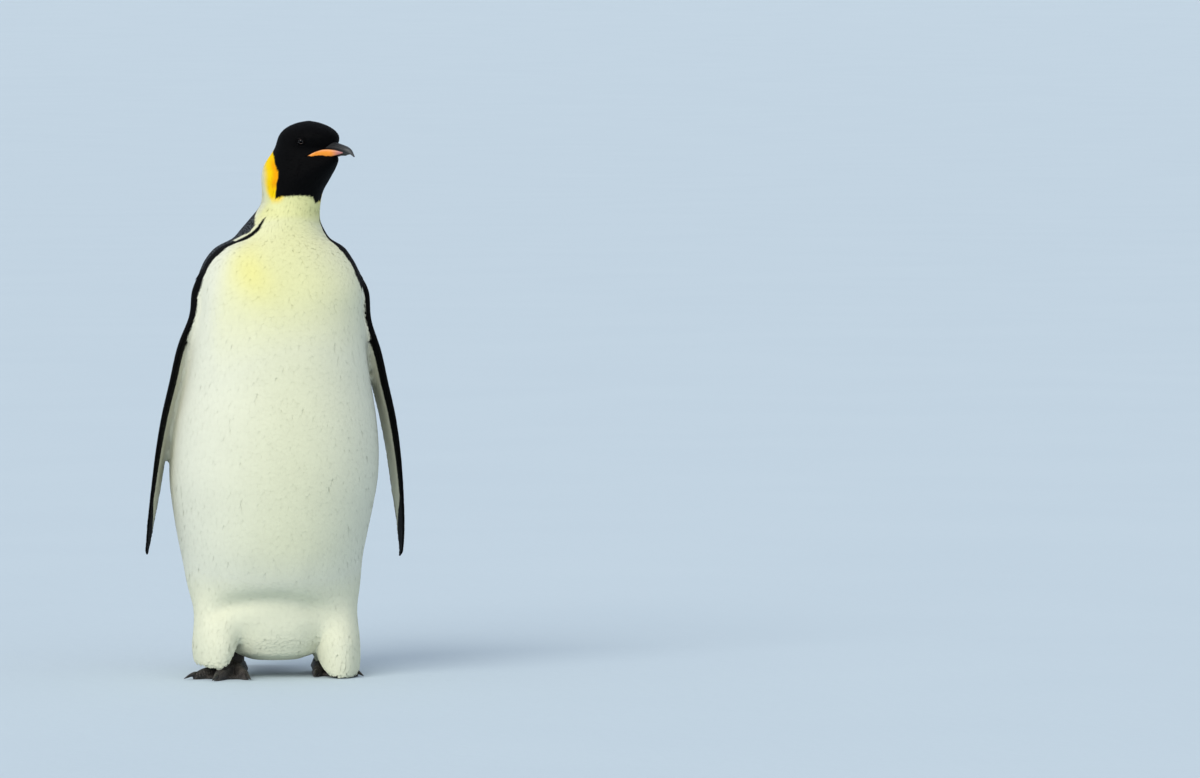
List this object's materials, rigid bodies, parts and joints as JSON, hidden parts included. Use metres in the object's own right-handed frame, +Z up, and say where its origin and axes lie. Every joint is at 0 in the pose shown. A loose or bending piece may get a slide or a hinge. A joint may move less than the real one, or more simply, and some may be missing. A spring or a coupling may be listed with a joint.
{
  "type": "emperor penguin",
  "caption": "Standing adult emperor penguin, life size and still, head turned to its left and flippers held a little away from the body.",
  "frame": {"origin": "on the floor, at the middle of the bird's box seen from above", "axes": "+Z up, the trunk faces -Y, the bird's own left side is +X"},
  "size_m": [0.4776, 0.4004, 1.018],
  "materials": {
    "plumage": "cream-white to pale yellow feathers, soft and matt",
    "black_plumage": "short dense black feathers with a faint sheen",
    "flipper": "tiny scale-like slate feathers, white on the underside",
    "bill": "smooth black horn, satin",
    "bill_plate": "smooth orange horn fading to pinkish mauve towards the tip",
    "eye": "wet dark brown eye",
    "foot_skin": "black scaly skin, matt",
    "claw": "black horn, satin"
  },
  "bodies": {
    "root": {"head": "black_plumage", "neck": "plumage", "trunk": "plumage", "tail": "black_plumage", "bill_upper": "bill", "bill_lower": "bill", "bill_plate_right": "bill_plate", "bill_plate_left": "bill_plate", "eye_right": "eye", "eye_left": "eye", "flipper_right": "flipper", "flipper_left": "flipper", "leg_right": "plumage", "leg_left": "plumage", "foot_right": "foot_skin", "foot_left": "foot_skin", "claw_right_inner": "claw", "claw_right_middle": "claw", "claw_right_outer": "claw", "claw_left_inner": "claw", "claw_left_middle": "claw", "claw_left_outer": "claw"}
  },
  "joints": []
}
